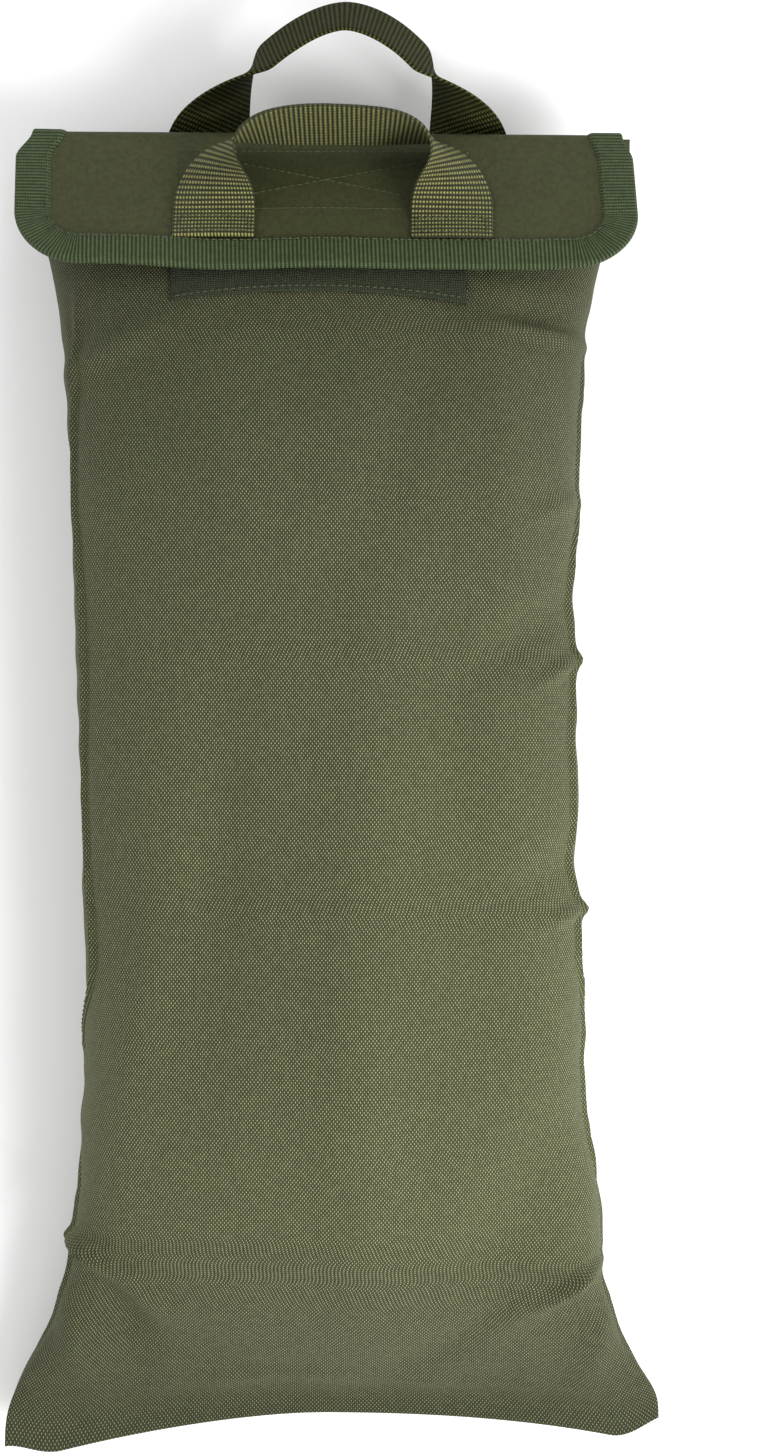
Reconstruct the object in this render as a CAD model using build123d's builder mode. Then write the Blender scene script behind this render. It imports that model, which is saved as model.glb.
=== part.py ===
"""Sandbag with a hook-and-loop flap and two webbing handles, filled and lying on its back.

Millimetres. +X is to the bag's right, +Y runs from the bottom seam to the mouth, +Z is up from the
surface that the bag lies on. The origin is on that surface, half way along the bag.
"""

import os
from math import acos, atan2, cos, degrees, exp, pi, radians, sin, sqrt, tan

from build123d import *

# Bag body: two panels sewn together at the sides and the bottom
flat_width = 300.0  # between the side seams with the bag empty and flat
bottom_edge_y = -306.0
mouth_edge_y = 301.0
full_thickness = 119.0  # at the middle of the filled bag
bottom_thickness = 2.6  # the two panels lie on each other in the bottom seam
mouth_thickness = 9.0
taper_length = 53.0  # how fast the filling dies away towards each end
flat_end = 10.0  # unfilled strip at each end
bottom_seam_height = 24.0
mouth_height = 38.5  # underside of the mouth above the floor
settle = 1.5  # depth by which the filling flattens the underside
end_lift_power = 1.5  # how sharply the underside rises towards each end
crown_power = 2.3
belly_power = 3.4
seam_share = 0.45  # height of the side seam as a share of the thickness
fabric = 1.0
layer_gap = 0.1  # between flat layers that are sewn together
curved_gap = 0.45  # between layers that follow the filled bag
# Distances from each end at which the bag's section is set out, closer where its shape changes fast
end_steps = [0, flat_end, 17, 25, 33, 42, 52, 64, 77, 94, 116, 146, 190]
arch_steps = 16  # points along half a section

# Tape inside the seams and over the mouth's edge
tape_thickness = 0.8
side_tape_width = 12.0
side_tape_reach = 205.0  # each way from the middle of the bag
bottom_tape_width = 8.0
bottom_tape_height = 1.4
bottom_tape_from_fill = 3.0  # from the flat strip at the seam to the tape
bottom_tape_end = 30.0  # bare seam beyond each end of the tape
hem_width = 9.0
hem_end_angle = 12.0  # degrees round the mouth from each side seam to the tape's end

# Thread
thread = 0.8

# Hook and loop
strip_length = 136.0
strip_width = 38.0
strip_thickness = 1.4
strip_margin = 3.0  # from the strip's edge to its thread
strip_thread_end = 2.0  # degrees round the bag from the strip's end to the thread's end
loop_strip_from_mouth = 77.0  # lower edge

# Flap
flap_width = 288.0
flap_cover = 76.0  # from the fold to the free edge
flap_slope = 29.8  # degrees, up from the fold to the free edge
flap_layer = 0.9
flap_corner = 30.0
flap_rise = 3.4  # of the lining over the bag's top profile
flap_nearest = 64.0  # from the mouth, where the bag comes closest to the lining
smallest_corner = 1.0
riser_thickness = 1.9
riser_gap = 2.3  # from the mouth's edge to the flap's riser
fold_radius = 5.0
binding_width = 16.0
binding_thread_margin = 2.4  # from the binding's inner edge to its thread
binding_thread_start = 2.0  # from the fold
hook_margin = 2.0  # from the binding to the hook strip
hinge_tab_width = 260.0
hinge_tab_overlap = 8.0  # onto the panel, inside the mouth's edge
stitch_box_width = 138.0
stitch_box_length = 34.0
stitch_box_shift = 13.0  # towards the fold from the middle of the hook strip

# Webbing handles
webbing_width = 38.0
webbing_thickness = 2.2
tail_length = 12.0
back_tail_length = 24.0
front_half_span = 55.0
front_rise = 41.0
front_power = 3.6
front_handle_slope = 4.0  # degrees above level
front_turn = 111.0  # degrees that the strap turns between its end and the grip
front_turn_start = 0.0  # share of the rise at which the strap starts to turn
front_turn_end = 1.0  # share of the rise at which it has turned fully
front_turn_power = 1.3  # above one, the strap turns more slowly at first
back_half_span = 66.0
back_rise = 80.0
back_power = 1.68
back_handle_slope = 17.0
back_turn = 104.0
back_turn_start = 0.22
back_turn_end = 0.75
back_turn_power = 1.0
back_tail_from_mouth = 29.0  # middle of the tail
hinge_gap = 0.6
tail_thread_side = 3.0  # from a tail's edge to its thread
tail_thread_end = 2.0
loop_steps = 36  # sections along a handle
smallest_share = 0.001  # keeps the strap's direction defined at both ends

# Liner bag and its sand
liner_film = 0.4
liner_clearance = 0.4
sand_clearance = 0.3
liner_end_length = 30.0
liner_side_clearance = 2.4  # leaves room for the seam tape
liner_end_gap = 25.0  # from the bottom seam to the liner
liner_weld = 2.0  # welded edge beyond the liner's open inside
neck_from_mouth = 33.0
neck_half_width = 12.0
neck_half_height = 5.0
shoulder_length = 62.0
tie_thickness = 1.6
tie_width = 4.8
tie_from_neck_end = 1.0
tie_side_clearance = 1.2
tie_top_clearance = 1.6
tie_corner = 3.0
sand_from_neck_end = 10.0

parts = []


def filled(distance):
    """Share of the full thickness at a distance from an end of the bag."""
    return max(0.0, 1.0 - exp(-(distance - flat_end) / taper_length))


def thickness(y):
    inside = filled(y - bottom_edge_y) * filled(mouth_edge_y - y)
    return max(bottom_thickness if y < 0 else mouth_thickness, full_thickness * inside)


def half_width(y):
    """The girth of cloth is fixed, so the bag narrows as it thickens."""
    return flat_width / 2 - (pi / 4 - 0.5) * (thickness(y) - bottom_thickness)


def underside(y):
    """Height of the bag's lowest fibre before the floor flattens it."""
    bottom_share = (1 - filled(y - bottom_edge_y)) ** end_lift_power
    mouth_share = (1 - filled(mouth_edge_y - y)) ** end_lift_power
    bottom_lift = (bottom_seam_height + settle) * bottom_share
    mouth_lift = (mouth_height + settle) * mouth_share
    return bottom_lift + mouth_lift - settle


def seam_height(y):
    return underside(y) + seam_share * thickness(y)


def arc_points(half_x, rise, centre_z, power, start, stop):
    """Part of a rounded-square arch, from one angle to another; a negative rise hangs down."""
    points = []
    for step in range(arch_steps + 1):
        angle = radians(start + (stop - start) * step / arch_steps)
        across = abs(cos(angle)) ** (2 / power) * (1 if cos(angle) >= 0 else -1)
        points.append((half_x * across, centre_z + rise * abs(sin(angle)) ** (2 / power)))
    return points


def keep(builder, name):
    builder.part.label = name
    parts.append(builder.part)


def band(ys, inset, depth, upper=True, start=0, stop=180):
    """A layer of cloth over part of the bag, its outer face inset from the bag's outer shape."""
    with BuildPart() as layer:
        for y in ys:
            share = (1 - seam_share) if upper else seam_share
            side = 1 if upper else -1
            power = crown_power if upper else belly_power
            outer_rise = share * thickness(y) - inset
            inner_rise = outer_rise - depth - (0 if upper else max(0.0, -underside(y)))
            centre = seam_height(y) + side * curved_gap / 2
            wide = half_width(y) - inset
            outer = arc_points(wide, side * outer_rise, centre, power, start, stop)
            inner = arc_points(wide - depth, side * inner_rise, centre, power, start, stop)
            with BuildSketch(Plane.XZ.offset(-y)):
                with BuildLine():
                    Spline(outer)
                    Line(outer[-1], inner[-1])
                    Spline(inner[::-1])
                    Line(inner[0], outer[0])
                make_face()
        loft(ruled=True)
    return layer


middle_low = bottom_edge_y + end_steps[-1]
middle_high = mouth_edge_y - end_steps[-1]
body_ys = [bottom_edge_y + step for step in end_steps]
body_ys += [middle_low + (middle_high - middle_low) * share / 4 for share in (1, 2, 3)]
body_ys += [mouth_edge_y - step for step in end_steps[::-1]]

front_panel = band(body_ys, 0, fabric)
keep(front_panel, "front_panel")

with BuildPart() as back_panel:
    add(band(body_ys, 0, fabric, upper=False).part)
    with BuildSketch(Plane.XY):
        Rectangle(2 * flat_width, 4 * mouth_edge_y)
    extrude(amount=full_thickness, mode=Mode.INTERSECT)
keep(back_panel, "back_panel")

# Tape over the raw edges of the side seams, inside the bag
for side, name in ((-1, "left"), (1, "right")):
    with BuildPart() as side_tape:
        for y in [y for y in body_ys if abs(y) < side_tape_reach]:
            face_x = half_width(y) - fabric - layer_gap - tape_thickness
            with BuildSketch(Plane.XZ.offset(-y)):
                with Locations([(side * face_x, seam_height(y))]):
                    Rectangle(tape_thickness, side_tape_width)
        loft(ruled=True)
    keep(side_tape, f"side_seam_tape_{name}")

bottom_tape_y = bottom_edge_y + flat_end + bottom_tape_from_fill + bottom_tape_width / 2
with BuildPart() as bottom_seam_tape:
    with Locations([(0, bottom_tape_y, seam_height(bottom_tape_y) + layer_gap)]):
        Box(flat_width - 2 * bottom_tape_end, bottom_tape_width, bottom_tape_height)
keep(bottom_seam_tape, "bottom_seam_tape")

hem_ys = [mouth_edge_y - hem_width, mouth_edge_y]
hem_inset = -tape_thickness - curved_gap
hem_stop = 180 - hem_end_angle
mouth_hem_tape = band(hem_ys, hem_inset, tape_thickness, start=hem_end_angle, stop=hem_stop)
keep(mouth_hem_tape, "mouth_hem_tape")

# Loop strip on the front panel, held by two rows of thread
loop_strip_low_y = mouth_edge_y - loop_strip_from_mouth
strip_share = strip_length / 2 / half_width(loop_strip_low_y)
strip_angle = degrees(acos(strip_share ** (crown_power / 2)))
strip_high_y = loop_strip_low_y + strip_width
strip_ys = [y for y in body_ys if loop_strip_low_y < y < strip_high_y]
strip_ys = [loop_strip_low_y, *strip_ys, strip_high_y]
loop_strip = band(
    strip_ys, -strip_thickness - curved_gap, strip_thickness, start=strip_angle, stop=180 - strip_angle
)
keep(loop_strip, "loop_strip")

thread_inset = -strip_thickness - curved_gap - layer_gap - thread / 2
thread_angle = strip_angle + strip_thread_end
with BuildPart() as loop_strip_stitching:
    for y in (loop_strip_low_y + strip_margin, strip_high_y - strip_margin):
        row_ys = [y - thread / 2, y + thread / 2]
        row = band(row_ys, thread_inset, thread / 2, start=thread_angle, stop=180 - thread_angle)
        add(row.part)
keep(loop_strip_stitching, "loop_strip_stitching")


# Liner bag of two welded films round the sand, drawn in to a tied neck
liner_end_y = bottom_edge_y + liner_end_gap
neck_y = mouth_edge_y - neck_from_mouth


def quarter_round(share):
    return sqrt(1 - (1 - min(1.0, max(0.0, share))) ** 2)


def liner_curve(y, inset, upper, weld):
    """Half of the liner's section, drawn in by inset, with a weld beyond each end."""
    low = quarter_round((y - liner_end_y + weld) / liner_end_length)
    high = quarter_round((neck_y + liner_weld + weld - y) / shoulder_length)
    side = 1 if upper else -1
    share = (1 - seam_share) if upper else seam_share
    spare = liner_clearance + fabric + inset + (0 if upper else settle)
    rise = (share * thickness(y) - spare) * low
    wide = half_width(y) - fabric - liner_side_clearance - inset
    if y > 0:
        rise = neck_half_height - inset + (rise - neck_half_height) * high
        wide = neck_half_width - inset + (wide - neck_half_width) * high
    power = crown_power if upper else belly_power
    centre = seam_height(y) + (side * layer_gap / 2 if inset == 0 else 0)
    return arc_points(wide, side * max(rise, liner_film), centre, power, 0, 180)


liner_ys = [liner_end_y] + [y for y in body_ys if liner_end_y < y < neck_y] + [neck_y]
for upper, name in ((True, "liner_front_film"), (False, "liner_back_film")):
    with BuildPart() as film:
        for y in liner_ys:
            outer = liner_curve(y, 0, upper, liner_weld)
            inner = liner_curve(y, liner_film, upper, liner_weld - liner_film)
            with BuildSketch(Plane.XZ.offset(-y)):
                with BuildLine():
                    Spline(outer)
                    Line(outer[-1], inner[-1])
                    Spline(inner[::-1])
                    Line(inner[0], outer[0])
                make_face()
        loft(ruled=True)
    keep(film, name)

with BuildPart() as sand_fill:
    for y in [y for y in liner_ys if liner_end_y < y < neck_y - sand_from_neck_end]:
        above = liner_curve(y, liner_film + sand_clearance, True, 0)
        below = liner_curve(y, liner_film + sand_clearance, False, 0)
        with BuildSketch(Plane.XZ.offset(-y)):
            with BuildLine():
                Spline(above)
                Spline(below[::-1])
            make_face()
    loft(ruled=True)
keep(sand_fill, "sand_fill")

tie_y = neck_y - tie_width / 2 - tie_from_neck_end
tie_inside_width = 2 * (neck_half_width + tie_side_clearance)
tie_inside_height = 2 * (neck_half_height + tie_top_clearance)
with BuildPart() as liner_tie:
    with BuildSketch(Plane.XZ.offset(-tie_y - tie_width / 2)):
        with Locations([(0, seam_height(tie_y))]):
            tie_outside_width = tie_inside_width + 2 * tie_thickness
            tie_outside_height = tie_inside_height + 2 * tie_thickness
            RectangleRounded(tie_outside_width, tie_outside_height, tie_corner + tie_thickness)
            RectangleRounded(tie_inside_width, tie_inside_height, tie_corner, mode=Mode.SUBTRACT)
    extrude(amount=tie_width)
keep(liner_tie, "liner_tie")


# Tab under the mouth's lower lip that carries the flap
riser_y = mouth_edge_y + riser_gap
tab_start = mouth_edge_y - hinge_tab_overlap
tab_end = riser_y + riser_thickness
with BuildPart() as flap_hinge_tab:
    with Locations([(0, (tab_start + tab_end) / 2, mouth_height - curved_gap - flap_layer / 2)]):
        Box(hinge_tab_width, tab_end - tab_start, flap_layer)
keep(flap_hinge_tab, "flap_hinge_tab")

# Flap: its fold stands in front of the mouth, and the rest slopes up over the bag
slope = radians(flap_slope)
flap_thickness = 2 * flap_layer + layer_gap
nearest_y = mouth_edge_y - flap_nearest
nearest_top = seam_height(nearest_y) + (1 - seam_share) * thickness(nearest_y)
roll_centre_y = riser_y + riser_thickness - fold_radius
lining_z = nearest_top + flap_rise / cos(slope) - (roll_centre_y - nearest_y) * tan(slope)
roll_centre_z = lining_z - (fold_radius - riser_thickness) / cos(slope)
axis_lift = fold_radius + hinge_gap / 2
fold_start = (roll_centre_y + fold_radius * sin(slope), roll_centre_z + fold_radius * cos(slope))

with BuildPart() as flap_riser:
    with BuildSketch(Plane.YZ.offset(-flap_width / 2)):
        with BuildLine():
            inner_radius = fold_radius - riser_thickness
            bottom = mouth_height + hinge_gap / 2
            inside = (roll_centre_y + inner_radius, roll_centre_z)
            outside = (roll_centre_y + fold_radius, roll_centre_z)
            inner_end = (
                roll_centre_y + inner_radius * sin(slope),
                roll_centre_z + inner_radius * cos(slope),
            )
            Line((inside[0], bottom), inside)
            RadiusArc(inside, inner_end, -inner_radius)
            Line(inner_end, fold_start)
            RadiusArc(fold_start, outside, fold_radius)
            Line(outside, (outside[0], bottom))
            Line((outside[0], bottom), (inside[0], bottom))
        make_face()
    extrude(amount=flap_width)
keep(flap_riser, "flap_riser")

# In this plane local X runs across the bag, local Y up the flap from its fold, local Z out of it
flap_plane = Plane(
    origin=(0, fold_start[0], fold_start[1]),
    x_dir=(-1, 0, 0),
    z_dir=(0, sin(slope), cos(slope)),
)


def flap_sheet(top, depth, inset=0.0, low=hinge_gap):
    """A layer of the flap: its upper face is top above the flap's face, its edge drawn in by inset."""
    with BuildPart() as sheet:
        with BuildSketch(flap_plane.offset(top - depth)) as outline:
            with Locations([(0, (low + flap_cover - inset) / 2)]):
                Rectangle(flap_width - 2 * inset, flap_cover - inset - low)
            fillet(outline.vertices().sort_by(Axis.Y)[-2:], max(smallest_corner, flap_corner - inset))
        extrude(amount=depth)
    return sheet


cloth_inset = tape_thickness + layer_gap
flap_outer = flap_sheet(0, flap_layer, cloth_inset)
keep(flap_outer, "flap_outer")
flap_lining = flap_sheet(-flap_layer - layer_gap, flap_layer, cloth_inset)
keep(flap_lining, "flap_lining")

binding_top = layer_gap + tape_thickness
binding_depth = flap_thickness + 2 * binding_top
with BuildPart() as flap_binding:
    add(flap_sheet(binding_top, binding_depth).part)
    slot = flap_sheet(layer_gap, flap_thickness + 2 * layer_gap, tape_thickness, -fold_radius)
    add(slot.part, mode=Mode.SUBTRACT)
    window = flap_sheet(2 * binding_top, 2 * binding_depth, binding_width, -fold_radius)
    add(window.part, mode=Mode.SUBTRACT)
keep(flap_binding, "flap_binding")

thread_top = binding_top + layer_gap / 2 + thread / 2
line_inset = binding_width - binding_thread_margin
with BuildPart() as flap_binding_stitching:
    add(flap_sheet(thread_top, thread / 2, line_inset, binding_thread_start).part)
    inner_line = flap_sheet(2 * thread_top, 4 * thread, line_inset + thread, -fold_radius)
    add(inner_line.part, mode=Mode.SUBTRACT)
keep(flap_binding_stitching, "flap_binding_stitching")

hook_middle = flap_cover - binding_width - hook_margin - strip_width / 2
hook_top = -flap_thickness - layer_gap
with BuildPart() as hook_strip:
    with BuildSketch(flap_plane.offset(hook_top - strip_thickness)):
        with Locations([(0, hook_middle)]):
            Rectangle(strip_length, strip_width)
    extrude(amount=strip_thickness)
keep(hook_strip, "hook_strip")

# Thread of the hook strip on the flap's face: a rectangle with a cross in it
stitch_diagonal = sqrt(stitch_box_width**2 + stitch_box_length**2)
stitch_angle = degrees(atan2(stitch_box_length, stitch_box_width))
with BuildPart() as hook_strip_stitching:
    with BuildSketch(flap_plane.offset(layer_gap / 2)):
        with Locations([(0, hook_middle - stitch_box_shift)]):
            Rectangle(stitch_box_width, stitch_box_length)
            inner_size = (stitch_box_width - 2 * thread, stitch_box_length - 2 * thread)
            Rectangle(*inner_size, mode=Mode.SUBTRACT)
            Rectangle(stitch_diagonal - 2 * thread, thread, rotation=stitch_angle)
            Rectangle(stitch_diagonal - 2 * thread, thread, rotation=-stitch_angle)
    extrude(amount=thread / 2)
keep(hook_strip_stitching, "hook_strip_stitching")


# Webbing handles: two tails sewn flat, and a loop that hinges where they end
def handle_tails(plane, near, length, half_span):
    """Both tails of a handle, from near towards the plane's +Y."""
    with BuildPart() as tails:
        with BuildSketch(plane.offset(layer_gap)):
            with Locations([(side * half_span, near + length / 2) for side in (-1, 1)]):
                Rectangle(webbing_width, length)
        extrude(amount=webbing_thickness)
    return tails


def tail_stitching(plane, near, length, half_span):
    """A stitched rectangle on the face of each tail."""
    box_width = webbing_width - 2 * tail_thread_side
    box_length = length - 2 * tail_thread_end
    with BuildPart() as rows:
        with BuildSketch(plane.offset(layer_gap + webbing_thickness + layer_gap / 2)):
            with Locations([(side * half_span, near + length / 2) for side in (-1, 1)]):
                Rectangle(box_width, box_length)
                Rectangle(box_width - 2 * thread, box_length - 2 * thread, mode=Mode.SUBTRACT)
        extrude(amount=thread / 2)
    return rows


def handle_loop(axis, handle_slope, side, half_span, rise, power, turning):
    """Webbing carried round an arch; side is +1 where its centre line runs above the hinge's axis.

    turning is the angle that the strap turns through, the shares of the rise at which it starts
    and ends, and the power of its start.
    """
    turn, turn_start, turn_end, turn_power = turning
    along = Vector(0, cos(radians(handle_slope)), sin(radians(handle_slope)))
    normal = Vector(0, -sin(radians(handle_slope)), cos(radians(handle_slope)))
    across = Vector(1, 0, 0)
    origin = Vector(0, axis.Y, axis.Z) + normal * side * (webbing_thickness / 2 + hinge_gap / 4)
    with BuildPart() as loop:
        for step in range(loop_steps + 1):
            angle = pi * step / loop_steps
            flat = max(sin(angle), 0.0) ** (2 / power)
            towards = 1 if cos(angle) >= 0 else -1
            reach = towards * abs(cos(angle)) ** (2 / power)
            centre = origin + along * (hinge_gap / 2 + rise * flat) + across * (half_span * reach)
            climb = half_span * max(sin(angle), smallest_share) ** (2 - 2 / power)
            run = towards * rise * max(abs(cos(angle)), smallest_share) ** (2 - 2 / power)
            outward = (across * run + along * climb).normalized()
            tangent = (along * run - across * climb).normalized()
            share = min(1.0, max(0.0, (flat - turn_start) / (turn_end - turn_start)))
            turned = radians(turn) * share**turn_power
            width_way = outward * cos(turned) + normal * side * sin(turned)
            with BuildSketch(Plane(origin=centre, x_dir=width_way, z_dir=tangent)):
                Rectangle(webbing_width, webbing_thickness)
        loft()
    return loop


front_near = flap_cover - binding_width - layer_gap - tail_length
front_handle_ends = handle_tails(flap_plane, front_near, tail_length, front_half_span)
keep(front_handle_ends, "front_handle_ends")
front_rows = tail_stitching(flap_plane, front_near, tail_length, front_half_span)
keep(front_rows, "front_handle_stitching")

axis_height = layer_gap + webbing_thickness + hinge_gap / 4
front_axis = flap_plane.from_local_coords((0, front_near - hinge_gap / 2, axis_height))
front_turning = (front_turn, front_turn_start, front_turn_end, front_turn_power)
front_handle_loop = handle_loop(
    front_axis, front_handle_slope, -1, front_half_span, front_rise, front_power, front_turning
)
keep(front_handle_loop, "front_handle_loop")

# The rear handle is sewn to the outside of the back panel, just below the mouth
back_handle_y = mouth_edge_y - back_tail_from_mouth
lean = degrees(atan2(underside(back_handle_y + 1) - underside(back_handle_y - 1), 2))
back_plane = Plane(
    origin=(0, back_handle_y, underside(back_handle_y) - curved_gap),
    x_dir=(1, 0, 0),
    z_dir=(0, sin(radians(lean)), -cos(radians(lean))),
)
back_near = -back_tail_length / 2
back_handle_ends = handle_tails(back_plane, back_near, back_tail_length, back_half_span)
keep(back_handle_ends, "back_handle_ends")
back_rows = tail_stitching(back_plane, back_near, back_tail_length, back_half_span)
keep(back_rows, "back_handle_stitching")

back_axis = back_plane.from_local_coords((0, back_near - hinge_gap / 2, axis_height))
back_turning = (back_turn, back_turn_start, back_turn_end, back_turn_power)
back_handle_loop = handle_loop(
    back_axis, back_handle_slope, 1, back_half_span, back_rise, back_power, back_turning
)
keep(back_handle_loop, "back_handle_loop")

os.makedirs("parts", exist_ok=True)
for part in parts:
    export_step(part, f"parts/{part.label}.step")
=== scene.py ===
from math import cos, pi, radians, sin, sqrt

import bpy
import numpy as np
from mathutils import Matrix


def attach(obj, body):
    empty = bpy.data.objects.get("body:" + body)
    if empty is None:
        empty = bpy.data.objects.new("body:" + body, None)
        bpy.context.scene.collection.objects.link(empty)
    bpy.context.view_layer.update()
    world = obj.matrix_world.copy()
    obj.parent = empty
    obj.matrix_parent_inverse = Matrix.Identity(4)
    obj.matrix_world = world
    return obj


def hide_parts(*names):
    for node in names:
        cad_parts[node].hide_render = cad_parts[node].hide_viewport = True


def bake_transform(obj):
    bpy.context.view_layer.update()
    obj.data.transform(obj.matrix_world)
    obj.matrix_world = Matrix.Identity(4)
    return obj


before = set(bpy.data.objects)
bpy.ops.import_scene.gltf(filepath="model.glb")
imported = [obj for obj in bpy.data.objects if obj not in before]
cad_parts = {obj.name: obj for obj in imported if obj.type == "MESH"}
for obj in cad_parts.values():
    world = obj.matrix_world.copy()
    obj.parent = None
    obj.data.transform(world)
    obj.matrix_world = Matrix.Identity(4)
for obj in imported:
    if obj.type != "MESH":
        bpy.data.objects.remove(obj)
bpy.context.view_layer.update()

mm = 0.001


def gridFaces(rows, columns, closed=False, first=0):
    # one quad between each vertex and its neighbours on the next row and column
    last = columns if closed else columns - 1
    r, c = np.meshgrid(np.arange(rows - 1), np.arange(last), indexing="ij")
    n = (c + 1) % columns
    quads = np.stack([r * columns + c, r * columns + n, (r + 1) * columns + n, (r + 1) * columns + c], -1)
    return quads.reshape(-1, 4) + first


def surfaceNormals(points):
    # cross product of the two grid directions
    across = np.gradient(points, axis=1)
    along = np.gradient(points, axis=0)
    normal = np.cross(across, along)
    return normal / np.maximum(np.linalg.norm(normal, axis=-1, keepdims=True), 1e-12)


def makePiece(name, points, faces, uv, material, smooth=True):
    mesh = bpy.data.meshes.new(name)
    mesh.from_pydata(np.asarray(points, float).tolist(), [], np.asarray(faces, int).tolist())
    mesh.update()
    layer = mesh.uv_layers.new(name="cloth")
    corner = np.zeros(len(mesh.loops), np.int32)
    mesh.loops.foreach_get("vertex_index", corner)
    layer.data.foreach_set("uv", np.asarray(uv, np.float32)[corner].ravel())
    mesh.polygons.foreach_set("use_smooth", np.full(len(mesh.polygons), smooth))
    mesh.materials.append(material)
    piece = bpy.data.objects.new(name, mesh)
    bpy.context.scene.collection.objects.link(piece)
    return piece


def closedSheet(points, normals, depth, uv):
    # a grid and a copy of it pushed back by the depth, joined round the rim
    rows, columns = points.shape[:2]
    count = rows * columns
    both = np.concatenate([points.reshape(-1, 3), (points - normals * depth).reshape(-1, 3)])
    index = np.arange(count).reshape(rows, columns)
    rim = np.concatenate([index[0, :-1], index[:-1, -1], index[-1, :0:-1], index[:0:-1, 0]])
    after = np.roll(rim, -1)
    side = np.stack([after, rim, rim + count, after + count], -1)
    front = gridFaces(rows, columns)
    faces = np.concatenate([front, front[:, ::-1] + count, side])
    return both, faces, np.concatenate([uv.reshape(-1, 2)] * 2)


def ringCap(count, first=0):
    # quads across a flat ring of an even number of vertices
    near = np.arange(count // 2 - 1)
    return np.stack([near, near + 1, count - 2 - near, count - 1 - near], -1) + first


def smoothStep(low, high, value):
    share = np.clip((value - low) / (high - low), 0, 1)
    return share * share * (3 - 2 * share)


def ridge(distance, width):
    # a bell curve: one at nought distance, falling away over the width
    return np.exp(-((distance / width) ** 2))


def softNoise(x, y, seed, waves=14):
    # a sum of sine waves whose directions and phases are drawn from the seed
    dice = np.random.default_rng(seed)
    total = np.zeros(np.broadcast_shapes(np.shape(x), np.shape(y)))
    for angle, phase, stretch in dice.uniform([0, 0, 0.6], [pi, 2 * pi, 1.7], (waves, 3)):
        total += np.sin((x * np.cos(angle) + y * np.sin(angle)) * stretch + phase)
    return total / sqrt(waves)


class Shader:
    # a short way to lay down shader nodes one after another
    def __init__(self, name):
        self.material = bpy.data.materials.new(name)
        self.material.use_nodes = True
        self.tree = self.material.node_tree
        self.surface = self.tree.nodes["Principled BSDF"]

    def node(self, kind, settings=(), **inputs):
        made = self.tree.nodes.new(kind)
        for key, value in dict(settings).items():
            setattr(made, key, value)
        for key, value in inputs.items():
            self.feed(made.inputs[key.replace("_", " ")], value)
        return made

    def feed(self, socket, value):
        if isinstance(value, bpy.types.NodeSocket):
            self.tree.links.new(value, socket)
        else:
            socket.default_value = value

    def math(self, operation, first, second=0.0, third=0.0):
        made = self.node("ShaderNodeMath", {"operation": operation})
        for socket, value in zip(made.inputs, (first, second, third)):
            self.feed(socket, value)
        return made.outputs[0]

    def uv(self):
        source = self.node("ShaderNodeUVMap", {"uv_map": "cloth"})
        parts = self.node("ShaderNodeSeparateXYZ", Vector=source.outputs[0])
        return parts.outputs[0], parts.outputs[1]

    def spot(self):
        return self.node("ShaderNodeTexCoord").outputs["Object"]

    def noise(self, scale, detail=2.0, vector=None):
        made = self.node("ShaderNodeTexNoise", Vector=vector or self.spot(), Scale=scale, Detail=detail)
        return made.outputs["Fac"]

    def ramp(self, value, stops):
        made = self.node("ShaderNodeValToRGB", Fac=value)
        while len(made.color_ramp.elements) < len(stops):
            made.color_ramp.elements.new(0.5)
        for element, (place, color) in zip(made.color_ramp.elements, stops):
            element.position = place
            element.color = (*color, 1)
        return made.outputs["Color"]

    def mix(self, kind, share, first, second):
        made = self.node("ShaderNodeMix", {"data_type": "RGBA", "blend_type": kind})
        self.feed(made.inputs[0], share)
        self.feed(made.inputs[6], first)
        self.feed(made.inputs[7], second)
        return made.outputs[2]

    def bump(self, height, distance, strength=1.0, under=None):
        made = self.node("ShaderNodeBump", Height=height, Distance=distance, Strength=strength)
        if under is not None:
            self.feed(made.inputs["Normal"], under)
        return made.outputs[0]


def plainWeave(shader, u, v, look):
    # Yarn height: each warp yarn is a half round that rises and dips once every two weft yarns,
    # its neighbour half a turn later, and the lower weft does the same the other way round.
    across = shader.math("DIVIDE", u, look["warp"])
    along = shader.math("DIVIDE", v, look["weft"])
    acrossCount = shader.math("FLOOR", across)
    alongCount = shader.math("FLOOR", along)
    heights = []
    for place, other, count, turn in ((across, along, acrossCount, 0.0), (along, across, alongCount, pi)):
        rounded = shader.math("ABSOLUTE", shader.math("SINE", shader.math("MULTIPLY", place, pi)))
        phase = shader.math("MULTIPLY_ADD", count, pi, turn)
        wave = shader.math("SINE", shader.math("MULTIPLY_ADD", other, pi, phase))
        lift = shader.math("MULTIPLY_ADD", wave, 0.5, 0.5)
        heights.append(shader.math("MULTIPLY", shader.math("POWER", rounded, 0.7), lift))
    return shader.math("MAXIMUM", heights[0], shader.math("MULTIPLY", heights[1], look["weftShare"]))


def ribWeave(shader, u, v, look):
    # Ribs across the tape, each a half round along it, with a bead where every yarn crosses
    rib = shader.math("ABSOLUTE", shader.math("SINE", shader.math("DIVIDE", v, look["weft"] / pi)))
    bead = shader.math("ABSOLUTE", shader.math("SINE", shader.math("DIVIDE", u, look["warp"] / pi)))
    share = look["beadShare"]
    beads = shader.math("MULTIPLY_ADD", shader.math("POWER", bead, 0.8), share, 1 - share)
    return shader.math("MULTIPLY", shader.math("POWER", rib, look["ribPower"]), beads)


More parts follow.
